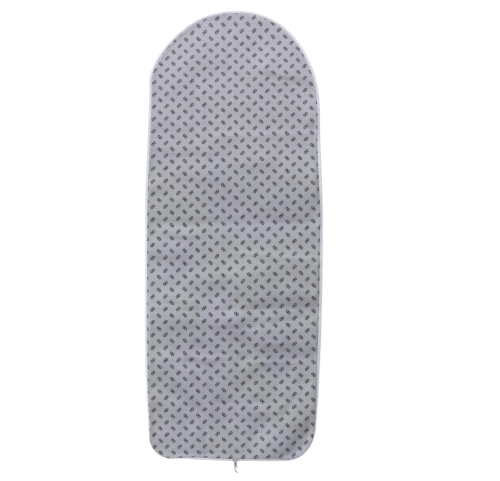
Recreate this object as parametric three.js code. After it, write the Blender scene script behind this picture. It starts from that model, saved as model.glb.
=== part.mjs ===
// Ironing board cover laid flat with its printed face up. The rounded nose points along +Y and the
// tail along -Y. Millimetres, +Z up, origin under the middle of the cover on the surface it lies on.
import * as THREE from 'three';

// Outline of the cover
const LENGTH = 1290;
const WIDTH = 510;
const WIDEST_FROM_NOSE = 603;
const SIDE_LEAN = 0.08;
const NOSE_FLAT = 23;
const NOSE_SHIFT = 9;
const LEFT_SHOULDER_FROM_NOSE = 203;
const LEFT_SHOULDER_SETBACK = 12;
const LEFT_NOSE_SIDE_HANDLE = 65;
const LEFT_NOSE_TIP_HANDLE = 136;
const LEFT_TAIL_SETBACK = 12;
const LEFT_CORNER_RUN = 70;
const LEFT_CORNER_RISE = 63;
const LEFT_TAIL_BOW = 6;
const RIGHT_SHOULDER_FROM_NOSE = 300;
const RIGHT_SHOULDER_SETBACK = 8;
const RIGHT_NOSE_SIDE_HANDLE = 220;
const RIGHT_NOSE_TIP_HANDLE = 91;
const RIGHT_TAIL_SETBACK = 20;
const RIGHT_CORNER_RUN = 87;
const RIGHT_CORNER_RISE = 92;
const RIGHT_TAIL_BOW = 0.5;

// Layers and hem
const CORD_DIAMETER = 3;
const CASING_CLEARANCE = 0.3;
const TAPE_THICKNESS = 0.6;
const TAPE_REACH = 9;
const FACE_THICKNESS = 0.4;
const PAD_THICKNESS = 4;
const PAD_EDGE_THICKNESS = 1;
const PAD_SLOPE = 18;
const PINCH_MARGIN = 3;
const LAYER_GAP = 0.1;
const RAW_EDGE_CLEARANCE = 0.5;
const THREAD_DIAMETER = 0.5;
const SEAM_FROM_TAPE_EDGE = 1.5;

// Mouth of the casing, and the cord ends that come out of it
const MOUTH_WIDTH = 14;
const MOUTH_SHIFT = 5;
const BAR_TACK_WIDTH = 1.4;
const BAR_TACK_FROM_END = 2;
const BAR_TACK_MARGIN = 0.4;
const SEAM_FROM_BAR_TACK = 1;
const CORD_END_GAP = 0.3;
const LEG_BEND = 6.5;
const LEG_TURN = 60;
const LEG_STACKING = 1.6;
const KNOT_LENGTH = 10;
const KNOT_DIAMETER = 8.4;
const KNOT_UPPER_DIAMETER = 7.8;
const KNOT_LOWER_DIAMETER = 7;
const TAIL_HEIGHT = 3.6;

// Facets
const TAIL_STEPS = 8;
const CORNER_STEPS = 12;
const LOWER_SIDE_STEPS = 9;
const UPPER_SIDE_STEPS = 8;
const NOSE_STEPS = 16;
const BEAD_STEPS = 9;
const CORD_SIDES = 8;
const THREAD_SIDES = 4;
const KNOT_SIDES = 12;
const LEG_STEPS = 6;
const LONG_TAIL_STEPS = 8;
const SHORT_TAIL_STEPS = 4;

// Share of a right-angled corner that a cubic's handle covers when the cubic is round
const ROUND = 0.55;

// Heights of the hem's layers: a bead round the cord, and the tape's two leaves over the raw edges
const cordRadius = CORD_DIAMETER / 2;
const casingRadius = cordRadius + CASING_CLEARANCE;
const beadRadius = casingRadius + TAPE_THICKNESS;
const stackHeight = 2 * TAPE_THICKNESS + PAD_EDGE_THICKNESS + FACE_THICKNESS + 3 * LAYER_GAP;
const stackBottom = beadRadius - stackHeight / 2;
const stackTop = stackBottom + stackHeight;
const padEdgeBottom = stackBottom + TAPE_THICKNESS + LAYER_GAP;
const padEdgeTop = padEdgeBottom + PAD_EDGE_THICKNESS;
const faceEdgeBottom = padEdgeTop + LAYER_GAP;
const faceEdgeTop = faceEdgeBottom + FACE_THICKNESS;
const faceBottom = PAD_THICKNESS + LAYER_GAP;
const needleHeight = stackTop + LAYER_GAP + THREAD_DIAMETER / 2;
const bobbinHeight = stackBottom - LAYER_GAP - THREAD_DIAMETER / 2;

// Distances in from the outline
const rawEdgeInset = beadRadius + cordRadius + RAW_EDGE_CLEARANCE;
const seamInset = TAPE_REACH - SEAM_FROM_TAPE_EDGE;
const pinchInset = TAPE_REACH + PINCH_MARGIN;
const crownInset = pinchInset + PAD_SLOPE;

const noseY = LENGTH / 2;
const tailY = -LENGTH / 2;
const mouthHalf = MOUTH_WIDTH / 2;
const knotRadius = KNOT_DIAMETER / 2;

// One outline made of several curves, stepped evenly within each curve, not by length
class OutlineCurve extends THREE.Curve {
  constructor(stretches) {
    super();
    this.stretches = stretches;
    this.steps = stretches.reduce((sum, stretch) => sum + stretch.steps, 0);
  }

  // The stretch that holds the parameter t, and the place of t along it
  locate(t) {
    let step = t * this.steps;
    for (const stretch of this.stretches.slice(0, -1)) {
      if (step < stretch.steps) {
        return [stretch.curve, step / stretch.steps];
      }
      step -= stretch.steps;
    }
    const last = this.stretches[this.stretches.length - 1];
    return [last.curve, Math.min(step / last.steps, 1)];
  }

  getPoint(t, target) {
    const [curve, place] = this.locate(t);
    return curve.getPoint(place, target);
  }

  getTangent(t, target) {
    const [curve, place] = this.locate(t);
    return curve.getTangent(place, target);
  }

  getPointAt(t, target) {
    return this.getPoint(t, target);
  }

  getTangentAt(t, target) {
    return this.getTangent(t, target);
  }
}

function flatPoint(x, y) {
  return new THREE.Vector3(x, y, 0);
}

// The two edges of the cover as it lies: side is 1 on the right and -1 on the left
const leftEdge = {
  side: -1,
  shoulderFromNose: LEFT_SHOULDER_FROM_NOSE,
  shoulderSetback: LEFT_SHOULDER_SETBACK,
  noseSideHandle: LEFT_NOSE_SIDE_HANDLE,
  noseTipHandle: LEFT_NOSE_TIP_HANDLE,
  tailSetback: LEFT_TAIL_SETBACK,
  cornerRun: LEFT_CORNER_RUN,
  cornerRise: LEFT_CORNER_RISE,
  tailBow: LEFT_TAIL_BOW,
};
const rightEdge = {
  side: 1,
  shoulderFromNose: RIGHT_SHOULDER_FROM_NOSE,
  shoulderSetback: RIGHT_SHOULDER_SETBACK,
  noseSideHandle: RIGHT_NOSE_SIDE_HANDLE,
  noseTipHandle: RIGHT_NOSE_TIP_HANDLE,
  tailSetback: RIGHT_TAIL_SETBACK,
  cornerRun: RIGHT_CORNER_RUN,
  cornerRise: RIGHT_CORNER_RISE,
  tailBow: RIGHT_TAIL_BOW,
};

// Half of the outline from the mouth to the nose, as curves from tail to tip. margin is how far past
// the mouth's end the half begins.
function halfOutline(edge, margin) {
  const { side, cornerRun, cornerRise, tailBow } = edge;
  const widestHalf = WIDTH / 2;
  const tailHalf = widestHalf - edge.tailSetback;
  const shoulderHalf = widestHalf - edge.shoulderSetback;
  const mouthEnd = flatPoint(MOUTH_SHIFT + side * (mouthHalf + margin), tailY);
  const cornerStart = flatPoint(side * (tailHalf - cornerRun), tailY + tailBow);
  const cornerEnd = flatPoint(side * tailHalf, tailY + tailBow + cornerRise);
  const widest = flatPoint(side * widestHalf, noseY - WIDEST_FROM_NOSE);
  const shoulder = flatPoint(side * shoulderHalf, noseY - edge.shoulderFromNose);
  const tip = flatPoint(NOSE_SHIFT + side * NOSE_FLAT / 2, noseY);

  const lean = new THREE.Vector3(side * SIDE_LEAN, 1, 0).normalize();
  const across = flatPoint(side, 0);
  const up = flatPoint(0, 1);
  const along = (point, direction, reach) => point.clone().addScaledVector(direction, reach);
  const tailReach = Math.abs(cornerStart.x - mouthEnd.x) / 3;
  const lowerReach = (widest.y - cornerEnd.y) / 3;
  const upperReach = (shoulder.y - widest.y) / 3;
  const cubic = (start, startHandle, endHandle, end, steps) => ({
    curve: new THREE.CubicBezierCurve3(start, startHandle, endHandle, end),
    steps,
  });
  return [
    cubic(mouthEnd, along(mouthEnd, across, tailReach), along(cornerStart, across, -tailReach),
      cornerStart, TAIL_STEPS),
    cubic(cornerStart, along(cornerStart, across, ROUND * cornerRun),
      along(cornerEnd, lean, -ROUND * cornerRise), cornerEnd, CORNER_STEPS),
    cubic(cornerEnd, along(cornerEnd, lean, lowerReach), along(widest, up, -lowerReach),
      widest, LOWER_SIDE_STEPS),
    cubic(widest, along(widest, up, upperReach), along(shoulder, up, -upperReach),
      shoulder, UPPER_SIDE_STEPS),
    cubic(shoulder, along(shoulder, up, edge.noseSideHandle), along(tip, across, edge.noseTipHandle),
      tip, NOSE_STEPS),
  ];
}

// The same curve run from its other end
function reversed({ curve, steps }) {
  return { curve: new THREE.CubicBezierCurve3(curve.v3, curve.v2, curve.v1, curve.v0), steps };
}

// The whole outline, anticlockwise from the mouth's right end to its left end
function outlineFrom(margin) {
  const right = halfOutline(rightEdge, margin);
  const left = halfOutline(leftEdge, margin);
  const rightTip = right[right.length - 1].curve.v3;
  const leftTip = left[left.length - 1].curve.v3;
  const noseFlat = { curve: new THREE.LineCurve3(rightTip, leftTip), steps: 1 };
  return new OutlineCurve([...right, noseFlat, ...left.reverse().map(reversed)]);
}

// A point of a hem section. A sweep along the outline lays its section's first axis downwards and
// its second axis inwards.
function sectionPoint(inset, height) {
  return new THREE.Vector2(-height, inset);
}

function roundSection(inset, height, radius, sides) {
  const points = [];
  for (let i = 0; i < sides; i += 1) {
    const angle = (2 * Math.PI * (i + 0.5)) / sides;
    points.push(sectionPoint(inset + radius * Math.cos(angle), height + radius * Math.sin(angle)));
  }
  return new THREE.Shape(points);
}

// Points round the bead, over its outer side, between the heights where two leaves meet it
function beadArc(radius, upperHeight, lowerHeight) {
  const upper = Math.asin((upperHeight - beadRadius) / radius);
  const lower = Math.asin((lowerHeight - beadRadius) / radius);
  const sweep = 2 * Math.PI - (upper - lower);
  const points = [];
  for (let i = 0; i <= BEAD_STEPS; i += 1) {
    const angle = upper + (sweep * i) / BEAD_STEPS;
    points.push(sectionPoint(beadRadius + radius * Math.cos(angle), beadRadius + radius * Math.sin(angle)));
  }
  return points;
}

// Tape folded round the cord, with its upper leaf on the face and its lower leaf under the pad
function bindingSection() {
  const outer = beadArc(beadRadius, stackTop, stackBottom);
  const inner = beadArc(casingRadius, stackTop - TAPE_THICKNESS, stackBottom + TAPE_THICKNESS);
  return new THREE.Shape([
    sectionPoint(TAPE_REACH, stackTop),
    ...outer,
    sectionPoint(TAPE_REACH, stackBottom),
    sectionPoint(TAPE_REACH, stackBottom + TAPE_THICKNESS),
    ...inner.reverse(),
    sectionPoint(TAPE_REACH, stackTop - TAPE_THICKNESS),
  ]);
}

function sweep(section, path, steps) {
  return new THREE.ExtrudeGeometry(section, { steps, bevelEnabled: false, extrudePath: path });
}

// A sheet filling the outline. rings holds [inset, height] pairs from the underside's flat middle,
// out round the edge and back to the top's flat middle.
function sheet(path, rings) {
  const count = path.steps + 1;
  const positions = [];
  const indices = [];
  for (const [inset, height] of rings) {
    for (let i = 0; i < count; i += 1) {
      const point = path.getPointAt(i / path.steps);
      const tangent = path.getTangentAt(i / path.steps);
      positions.push(point.x - tangent.y * inset, point.y + tangent.x * inset, height);
    }
  }
  for (let ring = 0; ring < rings.length - 1; ring += 1) {
    for (let i = 0; i < count; i += 1) {
      const here = ring * count + i;
      const next = ring * count + ((i + 1) % count);
      indices.push(here, next, next + count, here, next + count, here + count);
    }
  }
  const ringOutline = (ring) => Array.from({ length: count }, (_, i) => {
    const at = 3 * (ring * count + i);
    return new THREE.Vector2(positions[at], positions[at + 1]);
  });
  const last = rings.length - 1;
  for (const [a, b, c] of THREE.ShapeUtils.triangulateShape(ringOutline(0), [])) {
    indices.push(a, c, b);
  }
  for (const [a, b, c] of THREE.ShapeUtils.triangulateShape(ringOutline(last), [])) {
    indices.push(last * count + a, last * count + b, last * count + c);
  }
  const geometry = new THREE.BufferGeometry();
  geometry.setAttribute('position', new THREE.Float32BufferAttribute(positions, 3));
  geometry.setIndex(indices);
  geometry.computeVertexNormals();
  return geometry;
}

function piece(name, geometry, color, roughness) {
  const material = new THREE.MeshStandardMaterial({ color, roughness, metalness: 0 });
  const mesh = new THREE.Mesh(geometry, material);
  mesh.name = name;
  return mesh;
}

// Flat pieces: printed face on a foam pad that thins towards the hem
const outline = outlineFrom(0);
const pad = sheet(outline, [
  [crownInset, 0],
  [pinchInset, padEdgeBottom],
  [rawEdgeInset, padEdgeBottom],
  [rawEdgeInset, padEdgeTop],
  [pinchInset, padEdgeTop],
  [crownInset, PAD_THICKNESS],
]);
const face = sheet(outline, [
  [crownInset, faceBottom],
  [pinchInset, faceEdgeBottom],
  [rawEdgeInset, faceEdgeBottom],
  [rawEdgeInset, faceEdgeTop],
  [pinchInset, faceEdgeTop],
  [crownInset, faceBottom + FACE_THICKNESS],
]);

// Hem pieces, swept from one end of the mouth to the other
const binding = sweep(bindingSection(), outline, outline.steps);
const hemCord = sweep(roundSection(beadRadius, beadRadius, cordRadius, CORD_SIDES), outline, outline.steps);
const seamMargin = BAR_TACK_FROM_END + BAR_TACK_WIDTH + SEAM_FROM_BAR_TACK;
const seamLine = outlineFrom(seamMargin);
const threadSection = (height) => roundSection(seamInset, height, THREAD_DIAMETER / 2, THREAD_SIDES);
const needleThread = sweep(threadSection(needleHeight), seamLine, seamLine.steps);
const bobbinThread = sweep(threadSection(bobbinHeight), seamLine, seamLine.steps);

// A row of close stitches across the upper leaf, near the end of the tape
function barTack(name, side) {
  const leafStart = beadRadius + Math.sqrt(beadRadius ** 2 - (stackTop - beadRadius) ** 2);
  const length = TAPE_REACH - leafStart - 2 * BAR_TACK_MARGIN;
  const bar = new THREE.BoxGeometry(BAR_TACK_WIDTH, length, THREAD_DIAMETER);
  const mesh = piece(name, bar, 0xe6e6e8, 0.85);
  const fromMiddle = mouthHalf + BAR_TACK_FROM_END + BAR_TACK_WIDTH / 2;
  mesh.position.set(
    MOUTH_SHIFT + side * fromMiddle,
    tailY + leafStart + BAR_TACK_MARGIN + length / 2,
    needleHeight,
  );
  return mesh;
}

// Cord ends: two legs turn out of the mouth, the left one over the right one, meet in a knot and end
// in two tails
const cordSection = roundSection(0, 0, cordRadius, CORD_SIDES);
const tailSpacing = cordRadius + CORD_END_GAP;
const cordLineY = tailY + beadRadius;
const legTurn = THREE.MathUtils.degToRad(LEG_TURN);
const legDrop = LEG_BEND * (1 - Math.cos(legTurn)) + cordRadius * Math.cos(legTurn);
const knotTopY = cordLineY - legDrop - CORD_END_GAP;
const knotBottomY = knotTopY - KNOT_LENGTH;

// A leg bends from the casing towards the knot, and climbs or drops to its height there
function cordLeg(side) {
  const startX = MOUTH_SHIFT + side * (mouthHalf - CORD_END_GAP);
  const endZ = knotRadius - side * LEG_STACKING;
  const route = [];
  for (let i = 0; i <= LEG_STEPS; i += 1) {
    const share = i / LEG_STEPS;
    const angle = legTurn * share;
    route.push(new THREE.Vector3(
      startX - side * LEG_BEND * Math.sin(angle),
      cordLineY - LEG_BEND * (1 - Math.cos(angle)),
      THREE.MathUtils.lerp(beadRadius, endZ, THREE.MathUtils.smoothstep(share, 0, 1)),
    ));
  }
  return sweep(cordSection, new THREE.CatmullRomCurve3(route), LEG_STEPS);
}

// A tail's route, from points given across, along -Y and up from the middle of the knot's lower end
function cordTail(points, steps) {
  const route = points.map(([x, y, z]) => new THREE.Vector3(MOUTH_SHIFT + x, knotBottomY + y, z));
  return sweep(cordSection, new THREE.CatmullRomCurve3(route), steps);
}

const longTailRoute = [
  [-tailSpacing, -CORD_END_GAP, TAIL_HEIGHT],
  [-tailSpacing, -2.5, 3.3],
  [-1.6, -6.5, 2.0],
  [-1.0, -11.5, 1.65],
  [0.6, -16.0, 1.65],
  [3.4, -19.2, 1.65],
  [7.0, -20.6, 1.65],
];
const shortTailRoute = [
  [tailSpacing, -CORD_END_GAP, TAIL_HEIGHT],
  [2.0, -1.8, 3.5],
  [3.4, -3.9, 2.6],
  [5.8, -5.2, 1.8],
];

const knotProfile = [
  [0, -KNOT_LENGTH / 2],
  [KNOT_LOWER_DIAMETER / 2, -KNOT_LENGTH / 2],
  [knotRadius, -KNOT_LENGTH / 5],
  [knotRadius, KNOT_LENGTH / 5],
  [KNOT_UPPER_DIAMETER / 2, KNOT_LENGTH / 2],
  [0, KNOT_LENGTH / 2],
].map(([radius, y]) => new THREE.Vector2(radius, y));
const knot = piece('end_knot', new THREE.LatheGeometry(knotProfile, KNOT_SIDES), 0xc2c2c8, 0.85);
knot.position.set(MOUTH_SHIFT, (knotTopY + knotBottomY) / 2, knotRadius);

const cover = new THREE.Group();
cover.add(
  piece('foam_pad', pad, 0xd9d6cc, 0.95),
  piece('face_fabric', face, 0xb9b8c2, 0.85),
  piece('edge_binding', binding, 0xe0e3ee, 0.8),
  piece('drawcord', hemCord, 0xc2c2c8, 0.85),
  piece('needle_thread', needleThread, 0xe6e6e8, 0.8),
  piece('bobbin_thread', bobbinThread, 0xe6e6e8, 0.8),
  barTack('left_bar_tack', -1),
  barTack('right_bar_tack', 1),
);

const cordEnds = new THREE.Group();
cordEnds.add(
  piece('left_cord_leg', cordLeg(-1), 0xc2c2c8, 0.85),
  piece('right_cord_leg', cordLeg(1), 0xc2c2c8, 0.85),
  knot,
  piece('long_tail', cordTail(longTailRoute, LONG_TAIL_STEPS), 0xc2c2c8, 0.85),
  piece('short_tail', cordTail(shortTailRoute, SHORT_TAIL_STEPS), 0xc2c2c8, 0.85),
);

const ironingBoardCover = new THREE.Group();
ironingBoardCover.add(cover, cordEnds);
export default ironingBoardCover;
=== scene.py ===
"""Ironing board cover, lying flat with its printed face up: nose along +Y, tail and cord ends along -Y."""
import math

import bmesh
import bpy
import numpy as np
from mathutils import Matrix, Vector


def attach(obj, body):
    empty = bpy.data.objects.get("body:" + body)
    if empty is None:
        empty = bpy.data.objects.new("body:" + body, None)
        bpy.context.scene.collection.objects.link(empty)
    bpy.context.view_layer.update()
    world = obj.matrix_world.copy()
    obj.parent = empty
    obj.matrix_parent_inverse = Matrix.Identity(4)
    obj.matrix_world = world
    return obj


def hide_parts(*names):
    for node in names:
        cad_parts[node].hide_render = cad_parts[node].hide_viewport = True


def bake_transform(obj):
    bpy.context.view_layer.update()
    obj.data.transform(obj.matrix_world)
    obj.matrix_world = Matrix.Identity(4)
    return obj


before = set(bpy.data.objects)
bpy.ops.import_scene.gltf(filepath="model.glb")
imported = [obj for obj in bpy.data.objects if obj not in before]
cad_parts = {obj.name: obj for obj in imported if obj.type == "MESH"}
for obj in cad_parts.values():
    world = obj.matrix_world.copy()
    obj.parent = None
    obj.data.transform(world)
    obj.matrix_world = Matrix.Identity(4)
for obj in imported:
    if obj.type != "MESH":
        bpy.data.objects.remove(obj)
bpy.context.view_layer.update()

# Outline of the cover, in metres, as the solids have it
LENGTH = 1.290
WIDTH = 0.510
WIDEST_FROM_NOSE = 0.603
SIDE_LEAN = 0.08
NOSE_FLAT = 0.023
NOSE_SHIFT = 0.009
# Sizes of the left and of the right edge, which are not mirror images
EDGE_SIZES = {
    "side": (-1, 1),
    "shoulder_from_nose": (0.203, 0.300),
    "shoulder_setback": (0.012, 0.008),
    "nose_side_handle": (0.065, 0.220),
    "nose_tip_handle": (0.136, 0.091),
    "tail_setback": (0.012, 0.020),
    "corner_run": (0.070, 0.087),
    "corner_rise": (0.063, 0.092),
    "tail_bow": (0.006, 0.0005),
}
LEFT_EDGE = {name: left for name, (left, _) in EDGE_SIZES.items()}
RIGHT_EDGE = {name: right for name, (_, right) in EDGE_SIZES.items()}
MOUTH_X = 0.005
MOUTH_HALF = 0.007
# Share of a corner's run or rise that its handle covers, for a round corner
ROUND = 0.55

# Hem and layers
CORD_RADIUS = 0.0015
CASING_RADIUS = 0.0018
TAPE_THICKNESS = 0.0006
LEAF_THICKNESS = 0.0003
BEAD_RADIUS = CASING_RADIUS + TAPE_THICKNESS
TAPE_REACH = 0.009
LEAF_LENGTH = TAPE_REACH - BEAD_RADIUS
FACE_THICKNESS = 0.0004
PAD_THICKNESS = 0.004
PAD_EDGE_THICKNESS = 0.001
LAYER_GAP = 0.0001
RAW_EDGE = 0.002
SEAM_FROM_TAPE_EDGE = 0.0015
SEAM_LINE = LEAF_LENGTH - SEAM_FROM_TAPE_EDGE
THREAD_RADIUS = 0.00025
# From the cord's line in the hem to the outside of the lower leaf, the face and the upper leaf
STACK_HALF = TAPE_THICKNESS + (PAD_EDGE_THICKNESS + FACE_THICKNESS + 3 * LAYER_GAP) / 2
FACE_ABOVE = LAYER_GAP / 2 + PAD_EDGE_THICKNESS / 2 + FACE_THICKNESS
LEAF_TOP = FACE_ABOVE + LAYER_GAP / 2 + LEAF_THICKNESS
# From the surface that the cover lies on to the outside of its face, away from the hem
FACE_HEIGHT = PAD_THICKNESS + LAYER_GAP + FACE_THICKNESS

# Cord ends
CORD_LINE_Y = -LENGTH / 2 + BEAD_RADIUS
KNOT_FROM_CORD_LINE = 0.0043
KNOT_TOP_Y = CORD_LINE_Y - KNOT_FROM_CORD_LINE
KNOT_LENGTH = 0.0100
KNOT_HEIGHT = 0.0042


# Meshes and objects

def mesh_from(name, shape):
    """A mesh made of a bmesh, which is then freed."""
    mesh = bpy.data.meshes.new(name)
    shape.to_mesh(mesh)
    shape.free()
    return mesh


def add_object(name, data):
    """An object in the scene, from a mesh, a light or a camera."""
    made = bpy.data.objects.new(name, data)
    bpy.context.scene.collection.objects.link(made)
    return made


# Camera, straight above the cover as in the photograph

PHOTO_WIDTH = 500
PHOTO_HEIGHT = 481
COVER_LEFT, COVER_RIGHT = 144.6, 322.6
COVER_TOP, COVER_BOTTOM = 10.5, 460.9
CAMERA_LENS = 85
CAMERA_SENSOR = 36


def make_camera():
    """A camera looking straight down, framed by the pixels that the cover fills in the photograph."""
    metres_per_pixel = LENGTH / (COVER_BOTTOM - COVER_TOP)
    x = (PHOTO_WIDTH / 2 - (COVER_LEFT + COVER_RIGHT) / 2) * metres_per_pixel
    y = ((COVER_TOP + COVER_BOTTOM) / 2 - PHOTO_HEIGHT / 2) * metres_per_pixel
    height = PHOTO_WIDTH * metres_per_pixel * CAMERA_LENS / CAMERA_SENSOR
    data = bpy.data.cameras.new("camera")
    data.lens = CAMERA_LENS
    data.sensor_width = CAMERA_SENSOR
    camera = add_object("camera", data)
    camera.location = (x, y, height)
    bpy.context.scene.camera = camera


make_camera()


# Node materials

class Finish:
    """A material's node tree, with short calls for what the finishes share."""

    def __init__(self, name):
        self.material = bpy.data.materials.new(name)
        self.material.use_nodes = True
        self.tree = self.material.node_tree

    def feed(self, socket, value):
        """Gives a socket a link from another node, or a steady value."""
        if isinstance(value, bpy.types.NodeSocket):
            self.tree.links.new(value, socket)
        else:
            socket.default_value = value

    def feed_named(self, node, inputs):
        """Feeds a node's sockets by their names, with _ for each space."""
        for key, value in inputs.items():
            self.feed(node.inputs[key.replace("_", " ")], value)

    def add(self, kind, settings=None, *values, **inputs):
        """A new node. settings are its properties, values go to its sockets in order and inputs by name."""
        made = self.tree.nodes.new(kind)
        for key, value in (settings or {}).items():
            setattr(made, key, value)
        for socket, value in zip(made.inputs, values):
            self.feed(socket, value)
        self.feed_named(made, inputs)
        return made

    def math(self, operation, *values):
        return self.add("ShaderNodeMath", {"operation": operation}, *values).outputs[0]

    def vector(self, operation, *values):
        made = self.add("ShaderNodeVectorMath", {"operation": operation}, *values)
        return made.outputs["Value" if operation in ("DISTANCE", "LENGTH", "DOT_PRODUCT") else "Vector"]

    def uv(self, name):
        return self.add("ShaderNodeUVMap", {"uv_map": name}).outputs["UV"]

    def object_place(self):
        return self.add("ShaderNodeTexCoord").outputs["Object"]

    def coordinate(self, place, axis):
        return self.add("ShaderNodeSeparateXYZ", Vector=place).outputs[axis]

    def noise(self, place, scale, detail=2.0, roughness=0.5):
        return self.add("ShaderNodeTexNoise", Vector=place, Scale=scale, Detail=detail,
                        Roughness=roughness).outputs["Fac"]

    def wave(self, length, pitch):
        """A wave from -1 to 1 that repeats at each pitch."""
        return self.math("SINE", self.math("MULTIPLY", length, 2 * math.pi / pitch))

    def above_zero(self, wave):
        """A wave from -1 to 1, moved to between 0 and 1."""
        return self.math("MULTIPLY_ADD", wave, 0.5, 0.5)

    def ramp(self, value, low, high, to_low=0.0, to_high=1.0):
        """value mapped from low..high to to_low..to_high, with soft ends."""
        settings = {"interpolation_type": "SMOOTHSTEP"}
        return self.add("ShaderNodeMapRange", settings, value, low, high, to_low, to_high).outputs[0]

    def within(self, distance, limit, blur):
        """1 where a distance is under a limit and 0 past it, with a soft edge."""
        return self.ramp(distance, limit - blur, limit + blur, to_low=1.0, to_high=0.0)

    def mix(self, share, first, second):
        """A colour between two, by share."""
        made = self.add("ShaderNodeMix", {"data_type": "RGBA"})
        sockets = {socket.identifier: socket for socket in made.inputs}
        for name, value in (("Factor_Float", share), ("A_Color", first), ("B_Color", second)):
            self.feed(sockets[name], value)
        return next(socket for socket in made.outputs if socket.identifier == "Result_Color")

    def surface(self, **inputs):
        """Gives the surface its colour, roughness and the like, by the names of its sockets."""
        self.feed_named(self.tree.nodes["Principled BSDF"], inputs)

    def bump(self, height, strength, distance):
        made = self.add("ShaderNodeBump", Strength=strength, Distance=distance, Height=height)
        self.surface(Normal=made.outputs["Normal"])


def rgb(red, green, blue):
    return (red, green, blue, 1.0)


# Print and weaves: sizes in metres, the phase in pitches of the print
PRINT_PITCH_X = 0.0370
PRINT_PITCH_Y = 0.0369
PRINT_ROW_SLOPE = -0.0294
PRINT_COLUMN_SLOPE = 0.0025
PRINT_SPREAD = 0.0874
PRINT_SPREAD_Y = -0.131
PRINT_PHASE = (0.211, -0.051)
NOSE_PULL = 0.0088
NOSE_PULL_START = 0.545
NOSE_PULL_END = 0.635
HALF_CELL = 0.5
LINK_RING_RADIUS = 0.0032
LINK_RING_FROM_MIDDLE = 0.0031
LINK_STROKE_HALF = 0.00135
LINK_STROKE_BLUR = 0.000216
LINK_JOINT_RADIUS = 0.0021
LINK_JOINT_BLUR = 0.00042
LINK_TILT = math.radians(45)
WEAVE_PITCH = 0.0008
RIB_PITCH = 0.0007
BRAID_PITCH = 0.0026
BRAID_SLANT = 0.6


def print_grid(finish, flat):
    """Where places on the flat cloth lie in the print, counted in its columns and rows."""
    pull = finish.ramp(finish.coordinate(flat, "Y"), NOSE_PULL_START, NOSE_PULL_END, to_high=NOSE_PULL)
    flat = finish.vector("SUBTRACT", flat, finish.add("ShaderNodeCombineXYZ", Y=pull).outputs[0])
    offset = finish.vector("SUBTRACT", flat, (0, PRINT_SPREAD_Y, 0))
    reach = finish.vector("DOT_PRODUCT", offset, offset)
    growth = finish.math("MULTIPLY_ADD", reach, PRINT_SPREAD, 1.0)
    across = finish.vector("DOT_PRODUCT", flat, (1 / PRINT_PITCH_X, PRINT_COLUMN_SLOPE / PRINT_PITCH_X, 0))
    along = finish.vector("DOT_PRODUCT", flat, (PRINT_ROW_SLOPE / PRINT_PITCH_Y, 1 / PRINT_PITCH_Y, 0))
    return finish.add("ShaderNodeCombineXYZ", X=finish.math("MULTIPLY", across, growth),
                      Y=finish.math("MULTIPLY", along, growth)).outputs[0]


def link_ink(finish, place, tilt):
    """Ink of one figure: two rings side by side, with a dot where they join."""
    rings = []
    for from_middle in (LINK_RING_FROM_MIDDLE, -LINK_RING_FROM_MIDDLE):
        centre = (from_middle * math.cos(tilt), from_middle * math.sin(tilt), 0)
        away = finish.vector("DISTANCE", place, centre)
        rings.append(finish.math("ABSOLUTE", finish.math("SUBTRACT", away, LINK_RING_RADIUS)))
    stroke = finish.within(finish.math("MINIMUM", *rings), LINK_STROKE_HALF, LINK_STROKE_BLUR)
    joint = finish.within(finish.vector("LENGTH", place), LINK_JOINT_RADIUS, LINK_JOINT_BLUR)
    return finish.math("MAXIMUM", stroke, joint)


def print_ink(finish, flat):
    """How much ink is on the cloth: linked rings, leaning left and right in turn on a square grid."""
    grid = print_grid(finish, flat)
    inks = []
    for shift, tilt in ((0.0, -LINK_TILT), (HALF_CELL, LINK_TILT)):
        centred = finish.vector("SUBTRACT", grid, (PRINT_PHASE[0] + shift, PRINT_PHASE[1] + shift, 0))
        cell = finish.vector("WRAP", centred, (HALF_CELL, HALF_CELL, 1), (-HALF_CELL, -HALF_CELL, -1))
        place = finish.vector("MULTIPLY", cell, (PRINT_PITCH_X, PRINT_PITCH_Y, 0))
        inks.append(link_ink(finish, place, tilt))
    return finish.math("MAXIMUM", *inks)


def printed_cotton():
    """Grey cotton in two slow tones, with painted light that makes it paler towards the nose, uneven yarn
    and slightly worn ink.
    """
    violet_grey = rgb(0.345, 0.350, 0.411)
    green_grey = rgb(0.345, 0.359, 0.366)
    painted_light_nose_grey = rgb(0.3895, 0.385, 0.448)
    dark_yarn = rgb(0.22, 0.22, 0.25)
    ink_black = rgb(0.014, 0.013, 0.018)
    finish = Finish("printed_cotton")
    flat = finish.uv("flat")
    across = finish.coordinate(flat, "X")
    along = finish.coordinate(flat, "Y")
    tone = finish.noise(flat, scale=5.0, detail=3.0, roughness=0.55)
    cloth = finish.mix(finish.ramp(tone, low=0.42, high=0.60), violet_grey, green_grey)
    # Painted light: the cloth turns paler towards the nose, as if the light were stronger at that end.
    cloth = finish.mix(finish.ramp(along, low=0.05, high=0.45), cloth, painted_light_nose_grey)
    for yarn_scale, share in ((280.0, 0.52), (900.0, 0.2)):
        yarn = finish.noise(flat, scale=yarn_scale, roughness=0.6)
        cloth = finish.mix(finish.ramp(yarn, low=0.3, high=0.7, to_high=share), cloth, dark_yarn)
    kept_by_wear = finish.ramp(finish.noise(flat, scale=60.0), low=0.35, high=0.65, to_low=0.84)
    kept_at_nose = finish.ramp(along, low=0.15, high=0.50, to_low=1.0, to_high=0.94)
    kept = finish.math("MULTIPLY", kept_by_wear, kept_at_nose)
    ink = finish.math("MULTIPLY", print_ink(finish, flat), kept)
    finish.surface(Base_Color=finish.mix(ink, cloth, ink_black), Roughness=0.82,
                   Specular_IOR_Level=0.25, Sheen_Weight=0.12, Sheen_Roughness=0.5)
    weave = finish.math("MULTIPLY", finish.wave(across, WEAVE_PITCH), finish.wave(along, WEAVE_PITCH))
    finish.bump(finish.above_zero(weave), strength=0.25, distance=0.00015)
    return finish.material


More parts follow.
